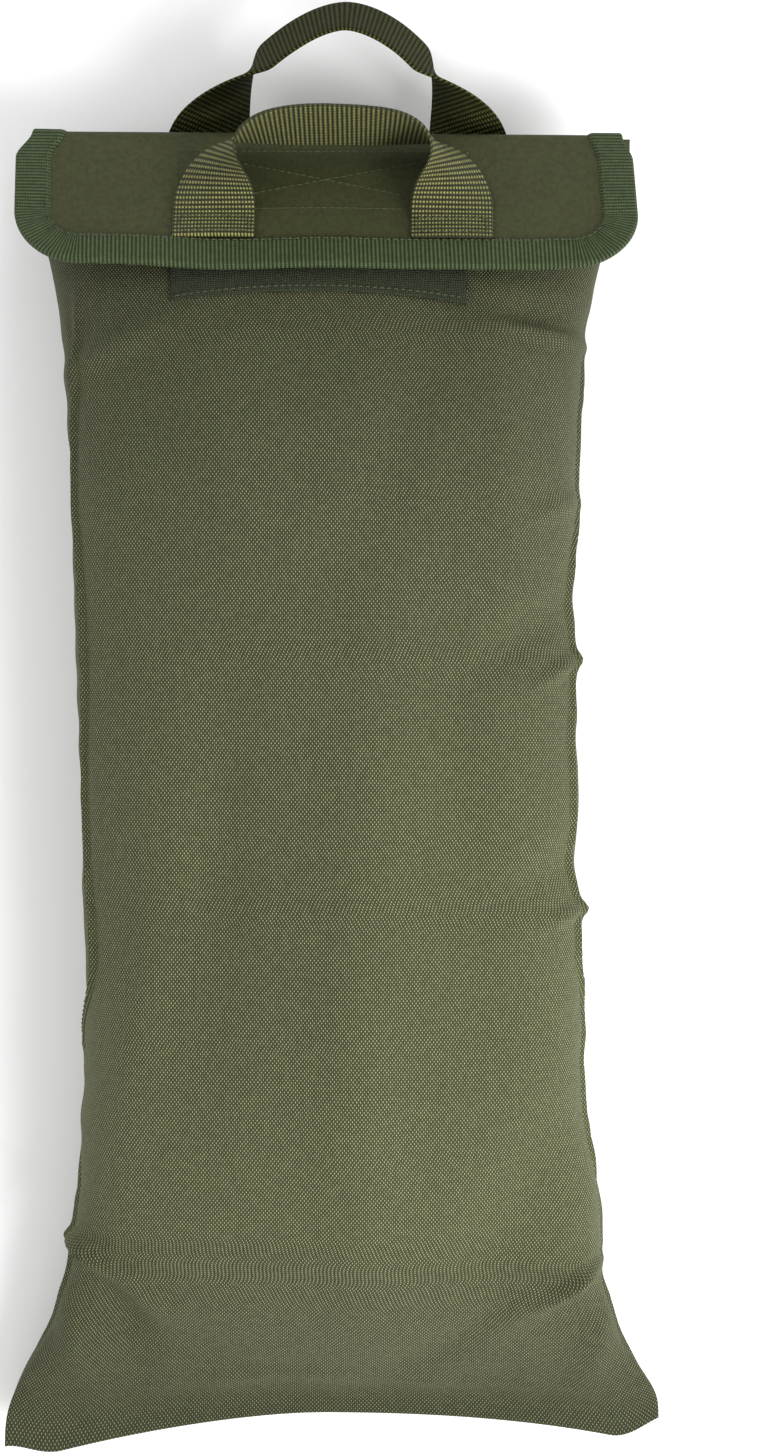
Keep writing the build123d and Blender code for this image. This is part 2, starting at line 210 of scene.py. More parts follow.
def clothMaterial(look):
    shader = Shader(look["name"])
    u, v = shader.uv()
    if look["waver"]:
        drift = shader.noise(look["waverScale"], 2.0)
        u = shader.math("MULTIPLY_ADD", drift, look["waver"], u)
        v = shader.math("MULTIPLY_ADD", drift, look["waver"], v)
    weave = ribWeave if look["ribbed"] else plainWeave
    height = weave(shader, u, v, look)
    # painted shade and highlight: by height in the weave, the colour darkens in the gaps between yarns and is lit up on
    # the yarn crowns, around the yarn's own colour
    yarn = shader.ramp(height, [(0.0, look["gap"]), (look["knee"], look["color"]), (1.0, look["crown"])])
    patch = shader.ramp(shader.noise(look["patchScale"], 4.0), [(0.3, look["patchLow"]), (0.7, look["patchHigh"])])
    yarn = shader.mix("MULTIPLY", 1.0, yarn, patch)
    speckStops = [(0.35, (0.86, 0.86, 0.86)), (0.65, (1.13, 1.13, 1.13))]
    speck = shader.ramp(shader.noise(look["speckScale"], 1.0), speckStops)
    yarn = shader.mix("MULTIPLY", 1.0, yarn, speck)
    if look["paintedShade"]:
        # painted shade: the cloth's colour is darkened towards the mouth and the bottom seam, where those ends turn
        # away from the light
        place = shader.node("ShaderNodeSeparateXYZ", Vector=shader.spot()).outputs[1]
        lengthwise = shader.math("MULTIPLY_ADD", place, 1.5625, 0.5)
        yarn = shader.mix("MULTIPLY", 1.0, yarn, shader.ramp(lengthwise, [(at, (k, k, k)) for at, k in look["paintedShade"]]))
    shader.feed(shader.surface.inputs["Base Color"], yarn)
    shader.feed(shader.surface.inputs["Roughness"], look["rough"])
    shader.feed(shader.surface.inputs["Specular IOR Level"], look["shine"])
    shader.feed(shader.surface.inputs["Sheen Weight"], look["sheen"])
    shader.feed(shader.surface.inputs["Sheen Roughness"], 0.5)
    shader.feed(shader.surface.inputs["Sheen Tint"], (*look["crown"], 1))
    creases = shader.bump(shader.noise(look["creaseScale"], 3.0), look["creaseDepth"], 0.5)
    shader.feed(shader.surface.inputs["Normal"], shader.bump(height, look["depth"], 1.0, creases))
    return shader.material


bodyClothLook = {
    "name": "body cloth",
    "ribbed": False,
    "paintedShade": [],
    "warp": 0.00088,
    "weft": 0.0011,
    "weftShare": 0.42,
    "waver": 0.0012,
    "waverScale": 18.0,
    # gap is painted shade between the yarns, crown a painted highlight on their tops, color the yarn's own colour
    "gap": (0.01, 0.013, 0.004),
    "color": (0.05, 0.055, 0.02),
    "crown": (0.37, 0.378, 0.182),
    "knee": 0.48,
    "patchScale": 7.0,
    "patchLow": (0.93, 0.93, 0.91),
    "patchHigh": (1.07, 1.07, 1.06),
    "speckScale": 420.0,
    "rough": 0.72,
    "shine": 0.32,
    "sheen": 0.1,
    "creaseScale": 26.0,
    "creaseDepth": 0.0035,
    "depth": 0.00045,
}
flapClothLook = dict(
    bodyClothLook,
    name="flap cloth",
    warp=0.00058,
    weft=0.00062,
    weftShare=0.7,
    gap=(0.02, 0.023, 0.008),
    color=(0.039, 0.043, 0.013),
    crown=(0.064, 0.069, 0.024),
    depth=0.0002,
)
bindingLook = dict(
    bodyClothLook,
    name="ribbed binding",
    ribbed=True,
    warp=0.0012,
    weft=0.0019,
    beadShare=0.3,
    ribPower=1.0,
    waver=0.0004,
    gap=(0.008, 0.018, 0.006),
    color=(0.02, 0.036, 0.011),
    crown=(0.085, 0.108, 0.038),
    knee=0.6,
    depth=0.0005,
    creaseDepth=0.002,
)
webbingLook = dict(
    bodyClothLook,
    name="handle webbing",
    ribbed=True,
    warp=0.00155,
    weft=0.0022,
    beadShare=0.72,
    ribPower=0.9,
    waver=0.0004,
    gap=(0.008, 0.009, 0.003),
    color=(0.04, 0.043, 0.011),
    crown=(0.29, 0.285, 0.095),
    knee=0.55,
    depth=0.001,
    creaseDepth=0.0012,
    shine=0.4,
)
# painted shade: a darker copy of the handle webbing for the rear handle, which sits low behind the bag in its shadow
shadedRearWebbingLook = dict(
    webbingLook,
    name="rear handle webbing in painted shade",
    gap=(0.006, 0.007, 0.002),
    color=(0.022, 0.024, 0.005),
    crown=(0.09, 0.09, 0.025),
    sheen=0.0,
    shine=0.12,
    rough=0.9,
)
stripLook = dict(
    bodyClothLook,
    name="hook and loop",
    warp=0.0011,
    weft=0.0009,
    weftShare=0.9,
    waver=0.0025,
    waverScale=160.0,
    gap=(0.01, 0.014, 0.006),
    color=(0.02, 0.026, 0.011),
    crown=(0.048, 0.056, 0.026),
    speckScale=900.0,
    depth=0.0008,
    sheen=0.4,
)
threadLook = dict(
    bodyClothLook,
    name="thread",
    warp=0.0004,
    weft=0.0003,
    weftShare=0.8,
    waver=0.0,
    gap=(0.02, 0.024, 0.01),
    color=(0.06, 0.066, 0.03),
    crown=(0.1, 0.108, 0.055),
    depth=0.0001,
    creaseDepth=0.0002,
    shine=0.4,
)
linerLook = dict(
    bodyClothLook,
    name="liner film",
    waver=0.0,
    gap=(0.5, 0.5, 0.47),
    color=(0.55, 0.55, 0.52),
    crown=(0.6, 0.6, 0.58),
    depth=0.00002,
    shine=0.6,
    rough=0.4,
)
sandLook = dict(
    bodyClothLook,
    name="sand",
    waver=0.003,
    gap=(0.33, 0.25, 0.15),
    color=(0.45, 0.36, 0.23),
    crown=(0.6, 0.5, 0.34),
    depth=0.0003,
    speckScale=1600.0,
)
tieLook = dict(
    bodyClothLook,
    name="cable tie",
    ribbed=True,
    warp=0.02,
    weft=0.0012,
    beadShare=0.0,
    ribPower=0.4,
    waver=0.0,
    gap=(0.01, 0.01, 0.01),
    color=(0.018, 0.018, 0.018),
    crown=(0.025, 0.025, 0.025),
    depth=0.0002,
    rough=0.4,
    shine=0.5,
    sheen=0.0,
)
# painted shade along the bag's length: darker under the flap by the mouth and on the slope down to the bottom seam
bodyPaintedShade = [(0.04, 0.55), (0.18, 0.92), (0.45, 0.92), (0.68, 0.78), (0.84, 0.58)]
bodyCloth = clothMaterial(dict(bodyClothLook, paintedShade=bodyPaintedShade))
flapClothPaint = clothMaterial(flapClothLook)
bindingTape = clothMaterial(bindingLook)
webbing = clothMaterial(webbingLook)
shadedRearWebbing = clothMaterial(shadedRearWebbingLook)
hookAndLoop = clothMaterial(stripLook)
threadPaint = clothMaterial(threadLook)
linerFilm = clothMaterial(linerLook)
sandPaint = clothMaterial(sandLook)
tiePaint = clothMaterial(tieLook)
print("materials ready")


bag = {
    "flatWidth": 300.0,
    "bottomY": -306.0,
    "mouthY": 301.0,
    "fullThickness": 119.0,
    "bottomThickness": 2.6,
    "mouthThickness": 9.0,
    "taper": 53.0,
    "flatEnd": 10.0,
    "bottomHeight": 24.0,
    "mouthHeight": 38.5,
    "settle": 1.5,
    "crownPower": 2.3,
    "bellyPower": 3.4,
    "seamShare": 0.45,
    "earLeft": 27.0,
    "earRight": 15.0,
    "endLift": 3.6,
    "spreadLeft": 4.0,
    "spreadRight": 9.0,
    "slump": 6.0,
    "rows": 430,
    "columns": 360,
}


def filled(distance):
    # one less an exponential decay, with a soft start where the filling begins
    reach = (distance - bag["flatEnd"]) / bag["taper"]
    soft = np.log1p(np.exp(np.clip(reach * 14, -40, 40))) / 14
    return 1 - np.exp(-soft)


def thicknessAt(y):
    inside = filled(y - bag["bottomY"]) * filled(bag["mouthY"] - y)
    least = bag["bottomThickness"] + (bag["mouthThickness"] - bag["bottomThickness"]) * smoothStep(-50, 50, y)
    return np.hypot(bag["fullThickness"] * inside, least)


def halfWidthAt(y):
    # the cloth's girth is fixed, so width is given up as thickness grows
    return bag["flatWidth"] / 2 - (pi / 4 - 0.5) * (thicknessAt(y) - bag["bottomThickness"])


def undersideAt(y):
    low = (bag["bottomHeight"] + bag["settle"]) * (1 - filled(y - bag["bottomY"])) ** 1.5
    high = (bag["mouthHeight"] + bag["settle"]) * (1 - filled(bag["mouthY"] - y)) ** 1.5
    return low + high - bag["settle"]


def seamHeightAt(y):
    return undersideAt(y) + bag["seamShare"] * thicknessAt(y)


def sectionPoints(angle, y, inset=0.0):
    # rounded square: cosine and sine each raised to two over the power, fuller below than above
    upper = np.sin(angle) >= 0
    power = np.where(upper, bag["crownPower"], bag["bellyPower"])
    rise = np.where(upper, 1 - bag["seamShare"], bag["seamShare"]) * thicknessAt(y) - inset
    wide = halfWidthAt(y) - inset
    x = wide * np.sign(np.cos(angle)) * np.abs(np.cos(angle)) ** (2 / power)
    z = seamHeightAt(y) + np.sign(np.sin(angle)) * rise * np.abs(np.sin(angle)) ** (2 / power)
    return x, z


# Folds in the cloth: x, y, heading in degrees, length, width and height in millimetres
folds = [
    (106, 208, -8, 24, 3.5, -4.2),
    (101, 218, -6, 28, 9.0, 3.6),
    (98, 70, 34, 34, 11.0, 4.6),
    (113, 54, 34, 13, 3.2, -4.5),
    (112, 128, 24, 16, 4.5, -2.6),
    (110, -40, 28, 30, 11.0, 4.2),
    (116, -60, 22, 13, 3.4, -4.5),
    (92, -194, 62, 50, 21.0, 6.5),
    (-52, -35, 88, 95, 20.0, 5.0),
    (14, -100, 91, 145, 22.0, -6.0),
    (62, -20, 96, 120, 20.0, 4.0),
    (-92, -120, 80, 80, 14.0, -3.0),
    (-52, 150, 100, 70, 20.0, -3.2),
    (30, 150, 70, 80, 16.0, 2.6),
    (84, 150, 96, 60, 14.0, -2.6),
    (-100, 200, 25, 28, 7.0, -3.0),
    (-101, -248, -58, 32, 10.0, 4.6),
    (-117, -221, -35, 13, 3.6, -9.0),
    (-96, -236, -40, 28, 6.0, -4.0),
    (-70, -262, -24, 36, 9.0, 3.0),
    (123, -225, 30, 9, 3.5, 5.5),
    (115, -232, 36, 16, 3.6, -9.0),
    (92, -247, 38, 28, 7.0, -3.8),
    (62, -264, 24, 36, 9.0, 2.6),
    (-122, -258, -64, 24, 7.0, -3.4),
    (126, -260, 62, 24, 7.0, -3.4),
    (-40, -284, 3, 60, 4.0, -1.6),
    (45, -286, -2, 60, 4.0, -1.6),
]


def foldHeight(x, y):
    # each fold is a bell curve across its direction and a wider one along it
    total = np.zeros_like(x)
    for atX, atY, heading, length, width, depth in folds:
        along = (x - atX) * cos(radians(heading)) + (y - atY) * sin(radians(heading))
        aside = -(x - atX) * sin(radians(heading)) + (y - atY) * cos(radians(heading))
        total += depth * ridge(along, length) * ridge(aside, width)
    return total


def slumped(points):
    # the filling has slumped, so each side is drawn in a little along part of its length, while
    # the empty cloth by the bottom seam spreads, and the mouth is gathered under the flap
    x, y = points[..., 0], points[..., 1]
    towards = x / halfWidthAt(y)
    right, left = smoothStep(0.2, 1.0, towards), smoothStep(0.2, 1.0, -towards)
    ends = smoothStep(-292, -238, y) * smoothStep(-285, -245, -y)
    pull = ends * (bag["slump"] - 1.5 * bag["slump"] * smoothStep(-120, 170, y)) * left
    pull -= ends * bag["slump"] * smoothStep(-200, 160, y) * right
    low = smoothStep(245, 285, -y)
    pull += low * (bag["spreadRight"] * right - bag["spreadLeft"] * left) + 5 * ridge(y + 190, 34) * right
    mouth = smoothStep(245, 290, y)
    pull += mouth * (3 * left - 10 * right)
    moved = points.copy()
    moved[..., 0] += pull
    return moved


def bodyPoints(angle, y):
    x, z = sectionPoints(angle, y)
    upper = np.sin(angle) >= 0
    points = np.stack([x, y, z], -1)
    normals = surfaceNormals(points)
    # lumps of sand and folds in the cloth die away towards the ends and on the floor side
    full = smoothStep(12, 70, y - bag["bottomY"]) * smoothStep(60, 110, bag["mouthY"] - y)
    above = smoothStep(-0.35, 0.25, np.sin(angle))
    lumps = 0.75 * softNoise(x / 34, y / 42, 5) + 0.22 * softNoise(x / 11, y / 14, 8)
    push = full * above * lumps + above * foldHeight(x, y) * smoothStep(45, 85, bag["mouthY"] - y)
    # short puckers run in from the side seams, and from the bottom seam
    sideways = np.abs(np.cos(angle))
    gathers = softNoise(y / 5.5, x / 60, 11)
    push += 0.35 * gathers * ridge(np.sin(angle), 0.3) * full
    rows = softNoise(x / 6.0, y / 30, 12)
    push += 0.5 * rows * ridge(y - bag["bottomY"] - 22, 12) * above
    # the turned side seam is a narrow groove with a soft welt on each side; it wanders a little
    leftRise = 19 * smoothStep(-130, -85, y) * smoothStep(-275, -235, -y)
    rightRise = 15 * smoothStep(-115, -75, y) * smoothStep(-135, -95, -y)
    wander = np.where(x < 0, leftRise, rightRise) + 2.2 * np.sin(y / 23 + 1.2 * np.sign(x))
    fromSeam = (z - seamHeightAt(y) - wander) / 1.4
    seamRidge = 0.9 * ridge(np.abs(fromSeam) - 2.4, 1.3) - 1.9 * ridge(fromSeam, 0.9)
    push += smoothStep(0.6, 0.85, sideways) * full * seamRidge
    points = points + normals * push[..., None]
    # the corners at the bottom reach further out than the middle of the bottom edge
    near = np.exp(-(y - bag["bottomY"]) / 30)
    spread = np.abs(points[..., 0]) / (bag["flatWidth"] / 2)
    leftEar = bag["earLeft"] * spread**1.7 * (1 - 0.35 * smoothStep(0.82, 1.0, spread))
    rightEar = bag["earRight"] * spread**2.5 * (1 - 0.97 * smoothStep(0.85, 1.03, spread))
    points[..., 1] -= near * (np.where(points[..., 0] < 0, leftEar, rightEar) - bag["endLift"])
    points = slumped(points)
    points[..., 2] = np.where(upper, points[..., 2], np.maximum(points[..., 2], 0.05))
    return points


def buildBody():
    rows, columns = bag["rows"], bag["columns"]
    share = np.linspace(0, 1, rows)
    # rows crowd together at both ends
    y = bag["bottomY"] + (bag["mouthY"] - bag["bottomY"]) * (share - 0.1 * np.sin(2 * pi * share))
    angle = 2 * pi * np.arange(columns) / columns
    angle = angle - 0.12 * np.sin(4 * angle)
    angles, ys = np.meshgrid(angle, y)
    points = bodyPoints(angles, ys)
    # cloth coordinates: distance from the middle line round the girth, and along the bag
    along = np.concatenate([[0], np.cumsum(np.hypot(np.diff(y), np.diff(seamHeightAt(y) + thicknessAt(y) / 2)))])
    steps = np.linalg.norm(np.diff(points, axis=1, append=points[:, :1]), axis=-1)
    run = np.concatenate([np.zeros((rows, 1)), np.cumsum(steps, 1)[:, :-1]], 1)
    half = columns // 2
    front = run[:, :half] / run[:, half : half + 1]
    back = (run[:, half:] - run[:, half : half + 1]) / (steps.sum(1, keepdims=True) - run[:, half : half + 1])
    u = np.concatenate([150 - 300 * front, -150 + 300 * back], 1)
    v = np.repeat(along[:, None], columns, 1)
    uv = np.stack([u, v], -1)
    # the bottom closes on the seam line, and the mouth turns in and runs back inside
    seam = points[0].copy()
    seam[:, 2] = seamHeightAt(y[0])
    seam[:, 1] -= 0.6
    inner = []
    for back in (0.0, 4.0, 14.0, 28.0, 42.0):
        inY = np.full(columns, bag["mouthY"] - back)
        inX, inZ = sectionPoints(angle, inY, 1.0)
        inner.append(slumped(np.stack([inX, inY, inZ], -1)))
    close = inner[-1].copy()
    close[:, 2] = seamHeightAt(bag["mouthY"] - 42.0)
    every = np.concatenate([seam[None], points, np.stack(inner), close[None]])
    uv = np.concatenate([uv[:1], uv, np.repeat(uv[-1:], 6, 0)])
    faces = gridFaces(every.shape[0], columns, closed=True)
    every, uv = every.reshape(-1, 3), uv.reshape(-1, 2)
    body = makePiece("sandbagBody", every * mm, faces[:, ::-1], uv * mm, bodyCloth)
    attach(body, "bag")
    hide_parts("front_panel", "back_panel")
    return body


buildBody()
print("body ready")


flap = {
    "width": 288.0,
    "cover": 76.0,
    "slope": 29.8,
    "thickness": 1.9,
    "rollY": 300.2,
    "rollZ": 47.364,
    "rollRadius": 5.0,
    "bottomZ": 38.9,
    "corner": 30.0,
    "wave": 1.1,
    "bow": 0.06,
    "shift": -5.0,
    "pinchLeft": 0.05,
    "pinchRight": 0.028,
    "droop": 2.2,
    "binding": 16.0,
    "tape": 0.9,
    "columns": 260,
    "rows": 110,
}
flapSlope = radians(flap["slope"])
rollTurn = pi / 2 - flapSlope
rollArc = flap["rollRadius"] * rollTurn
riserLength = flap["rollZ"] - flap["bottomZ"]
flapLow = -rollArc - riserLength


def flapFace(u, v):
    # outer face of the flap: up the riser, round the roll, then straight up the slope;
    # u is across the bag and v runs from the fold to the free edge, both in millimetres
    v = v * (1 - flap["bow"] * (v > 0) * (u / 144) ** 2)
    turn = np.clip(rollTurn + v / flap["rollRadius"], 0, rollTurn)
    y = flap["rollY"] + flap["rollRadius"] * np.cos(turn) - np.maximum(v, 0) * cos(flapSlope)
    z = flap["rollZ"] + flap["rollRadius"] * np.sin(turn) + np.maximum(v, 0) * sin(flapSlope)
    z = z + np.minimum(v + rollArc, 0)
    normal = np.stack([np.zeros_like(u), np.cos(turn), np.sin(turn)], -1)
    away = smoothStep(10, flap["cover"], v)
    lift = flap["wave"] * np.sin(u / 21 + 0.8) * away**2 + 0.5 * np.sin(u / 12.5 + v / 30) * away
    lift = lift - flap["droop"] * away * (np.abs(u) / 144) ** 4
    lift = lift + 0.35 * np.sin(u / 33 + 2.0) * smoothStep(0, 20, v)
    # the sides draw in a little at the fold
    pinch = np.where(u < 0, flap["pinchLeft"], flap["pinchRight"])
    narrow = 1 - pinch * smoothStep(-13, 2, -v)
    x = u * narrow + flap["shift"] * (1 - 0.6 * np.maximum(v, 0) / flap["cover"])
    point = np.stack([x, y, z], -1)
    return point + normal * lift[..., None], normal


def cornerEdge(u, inset=0.0):
    # how far the flap reaches at u: its cover, drawn back along a quarter circle near each side
    half = flap["width"] / 2 - inset
    radius = max(flap["corner"] - inset, 1.0)
    into = np.clip(np.abs(u) - (half - radius), 0, radius)
    return flap["cover"] - inset - radius + np.sqrt(np.maximum(radius**2 - into**2, 0))


def buildFlapCloth():
    share = np.linspace(-1, 1, flap["columns"])
    inset = 0.8
    u = (flap["width"] / 2 - inset) * np.sin(share * pi / 2 * 0.995)
    rise = np.linspace(0, 1, flap["rows"])
    us, rs = np.meshgrid(u, rise)
    v = flapLow + (cornerEdge(us, inset) - flapLow) * rs
    point, normal = flapFace(us, v)
    points, faces, uv = closedSheet(point, normal, flap["thickness"], np.stack([us, v], -1))
    cloth = makePiece("flapCloth", points * mm, faces, uv * mm, flapClothPaint)
    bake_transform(cloth)
    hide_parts("flap_outer", "flap_lining", "flap_riser")


buildFlapCloth()
print("flap cloth ready")


def edgePath(inset, step=0.8):
    # up the left side, round the corner, along the free edge and down the right side
    half = flap["width"] / 2 - inset
    radius = max(flap["corner"] - inset, 1.0)
    top = flap["cover"] - inset
    sideRun = top - radius - flapLow
    arcRun = radius * pi / 2
    total = 2 * sideRun + 2 * arcRun + 2 * (half - radius)
    s = np.linspace(0, total, int(total / step))
    mirror = np.where(s > total / 2, 1.0, -1.0)
    s = np.where(s > total / 2, total - s, s)
    around = np.clip((s - sideRun) / radius, 0, pi / 2)
    u = half - radius + radius * np.cos(around) - np.maximum(s - sideRun - arcRun, 0)
    v = flapLow + np.minimum(s, sideRun) + radius * np.sin(around)
    outward = np.stack([mirror * np.cos(around), np.sin(around)], -1)
    run = np.linspace(0, total, len(s))
    return mirror * u, v, outward, run


def buildBinding():
    # a tape folded round the edge: its section runs in over the face, round the edge and back
    # underneath, and is carried along the flap's outline
    u, v, outward, run = edgePath(0.0, 0.7)
    width, tape, cloth = flap["binding"], flap["tape"], flap["thickness"]
    lip = np.linspace(0, 1, 14)
    over = [(-width + width * t * 0.96, 0.12 + tape * min(1.0, 0.15 + 2.2 * sqrt(t))) for t in lip]
    turn = np.linspace(pi / 2, -pi / 2, 9)
    middle = -cloth / 2
    radius = cloth / 2 + tape + 0.12
    round_ = [(-width * 0.04 + radius * 0.75 * np.cos(a), middle + radius * np.sin(a)) for a in turn]
    under = [(-width + width * t * 0.96, -cloth - 0.12 - tape * min(1.0, 0.15 + 2.2 * sqrt(t))) for t in lip[::-1]]
    back = [(-width, -cloth - 0.12), (-width * 0.5, -cloth - 0.1), (-1.2, -cloth - 0.08), (-1.2, 0.08), (-width * 0.5, 0.1), (-width, 0.12)]
    section = np.array(over + round_ + under + back)
    ins, up = section[:, 0], section[:, 1]
    # the tape puckers a little where it turns the corners
    corner = np.abs(outward[:, 0] * outward[:, 1]) * 2
    us = u[:, None] + outward[:, :1] * ins[None]
    vs = v[:, None] + outward[:, 1:] * ins[None]
    point, normal = flapFace(us, vs)
    pucker = corner[:, None] * 0.45 * np.sin(run / 1.9)[:, None] * smoothStep(2, 12, -ins)[None]
    edgeWave = 0.25 * softNoise(run[:, None] / 6, ins[None] / 9, 21)
    high = up[None] + (pucker + edgeWave * smoothStep(0.2, 1.2, up)[None]) * (up > 0.2)[None]
    points = point + normal * high[..., None]
    reach = np.concatenate([[0], np.cumsum(np.hypot(np.diff(ins), np.diff(up)))])
    uv = np.stack(np.broadcast_arrays(reach[None], run[:, None]), -1)
    count = len(section)
    tube = gridFaces(len(u), count, closed=True)
    faces = np.concatenate([tube, ringCap(count)[:, ::-1], ringCap(count, (len(u) - 1) * count)])
    points, uv = points.reshape(-1, 3), uv.reshape(-1, 2)
    piece = makePiece("flapBinding", points * mm, faces, uv * mm, bindingTape)
    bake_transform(piece)
    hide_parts("flap_binding")
    return piece


buildBinding()
print("binding ready")


def strapPath(look):
    # a rounded-square arch with straight tails; the strap's width turns from lying flat at the
    # tails to standing on edge at the grip
    arch = np.linspace(0, pi, 400)
    flat = np.sin(arch) ** (2 / look["power"])
    reach = np.sign(np.cos(arch)) * np.abs(np.cos(arch)) ** (2 / look["power"])
    slope = radians(look["slope"])
    along = np.array([0, cos(slope), sin(slope)])
    up = np.array([0, -sin(slope), cos(slope)]) * look["side"]
    across = np.array([1.0, 0, 0])
    origin = np.array([0, *look["axis"]]) + up * look["off"]
    sideways = look["span"] * reach + look["lean"] * flat
    centre = origin + np.outer(look["rise"] * flat, along) + np.outer(sideways, across)
    climb = look["span"] * np.maximum(np.sin(arch), 1e-3) ** (2 - 2 / look["power"])
    turnRun = look["rise"] * np.sign(np.cos(arch)) * np.maximum(np.abs(np.cos(arch)), 1e-3) ** (2 - 2 / look["power"])
    outward = np.outer(turnRun, across) + np.outer(climb, along)
    outward /= np.linalg.norm(outward, axis=1, keepdims=True)
    share = np.clip((flat - look["turnStart"]) / (look["turnEnd"] - look["turnStart"]), 0, 1)
    turned = radians(look["turn"]) * share ** look["turnPower"]
    wide = outward * np.cos(turned)[:, None] + up * np.sin(turned)[:, None]
    # tails lie in the panel's plane behind the hinge
    tailStep = np.linspace(look["tail"], 0.4, 24)[:, None]
    back = np.array([0, *look["tailWay"]])
    over = np.array([0, *look["tailUp"]]) * look["tailLift"]
    foot = np.array([0, *look["axis"]]) + over
    right = foot + back * tailStep + across * look["span"]
    left = foot + back * tailStep[::-1] - across * look["span"]
    path = np.concatenate([right, centre[2:-2], left])
    flatWide = np.repeat(across[None], 24, 0)
    wides = np.concatenate([flatWide, wide[2:-2], -flatWide])
    # even steps, then a little smoothing rounds off the hinge
    run = np.concatenate([[0], np.cumsum(np.linalg.norm(np.diff(path, axis=0), axis=1))])
    even = np.linspace(0, run[-1], 360)
    path = np.stack([np.interp(even, run, path[:, i]) for i in range(3)], -1)
    wides = np.stack([np.interp(even, run, wides[:, i]) for i in range(3)], -1)
    kernel = np.hanning(look["smooth"])
    kernel /= kernel.sum()
    pad = look["smooth"] // 2
    for table in (path, wides):
        for i in range(3):
            before = 2 * table[0, i] - table[pad:0:-1, i]
            after = 2 * table[-1, i] - table[-2 : -pad - 2 : -1, i]
            line = np.concatenate([before, table[:, i], after])
            table[:, i] = np.convolve(line, kernel, "valid")
    return path, wides, even


def buildStrap(name, look, nodes):
    path, wides, run = strapPath(look)
    tangent = np.gradient(path, axis=0)
    tangent /= np.linalg.norm(tangent, axis=1, keepdims=True)
    wides = wides - tangent * (wides * tangent).sum(1, keepdims=True)
    wides /= np.linalg.norm(wides, axis=1, keepdims=True)
    normal = np.cross(tangent, wides)
    # section: a thin flat oval with slightly thicker woven edges
    a = 2 * pi * np.arange(56) / 56
    w = look["width"] / 2 * np.sign(np.cos(a)) * np.abs(np.cos(a)) ** 0.5
    n = look["thick"] / 2 * np.sign(np.sin(a)) * np.abs(np.sin(a)) ** 0.35
    n = n * (1 + 0.18 * smoothStep(0.86, 0.97, np.abs(w) / (look["width"] / 2)))
    curl = look["curl"] * (w / (look["width"] / 2)) ** 2
    ripple = 0.25 * softNoise(run[:, None] / 9, w[None] / 14, look["seed"])
    points = path[:, None] + wides[:, None] * w[None, :, None] + normal[:, None] * (n[None] + curl[None] + ripple)[..., None]
    uv = np.stack(np.broadcast_arrays(w[None], run[:, None]), -1)
    tube = gridFaces(len(path), len(a), closed=True)
    faces = np.concatenate([tube, ringCap(len(a))[:, ::-1], ringCap(len(a), (len(path) - 1) * len(a))])
    piece = makePiece(name, points.reshape(-1, 3) * mm, faces, uv.reshape(-1, 2) * mm, look["paint"])
    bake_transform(piece)
    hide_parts(*nodes)
    return piece


frontHandleLook = {
    "axis": (262.597, 77.485),
    "slope": 4.0,
    "side": -1,
    "off": 1.25,
    "span": 55.0,
    "rise": 41.0,
    "power": 3.6,
    "lean": 0.0,
    "turn": 111.0,
    "turnStart": 0.0,
    "turnEnd": 1.0,
    "turnPower": 1.3,
    "width": 38.0,
    "thick": 2.2,
    "tail": 12.3,
    "tailWay": (-0.8678, 0.497),
    "tailUp": (0.497, 0.8678),
    "tailLift": -1.25,
    "face": 0.0,
    "smooth": 15,
    "curl": 0.3,
    "seed": 31,
    "paint": webbing,
    "bendStart": (0, 0.2575, 0.0800),
    "bendEnd": (0, 0.2676, 0.0755),
}
backHandleLook = dict(
    frontHandleLook,
    axis=(283.611, 26.154),
    slope=17.0,
    side=1,
    span=66.0,
    rise=80.0,
    power=1.68,
    lean=5.0,
    turn=104.0,
    turnStart=0.22,
    turnEnd=0.75,
    turnPower=1.0,
    tail=24.3,
    tailWay=(-0.834, -0.552),
    tailUp=(-0.552, 0.834),
    tailLift=1.25,
    seed=37,
    # the rear handle wears the webbing darkened with painted shade
    paint=shadedRearWebbing,
    bendStart=(0, 0.2795, 0.0245),
    bendEnd=(0, 0.2887, 0.0285),
)
for name, look, parent in (("front", frontHandleLook, "flap"), ("back", backHandleLook, "bag")):
    nodes = (f"{name}_handle_ends", f"{name}_handle_loop")
    buildStrap(f"{name}Handle", look, nodes)
print("handles ready")


stitch = {"length": 2.3, "gap": 0.9, "radius": 0.34, "bury": 0.1}


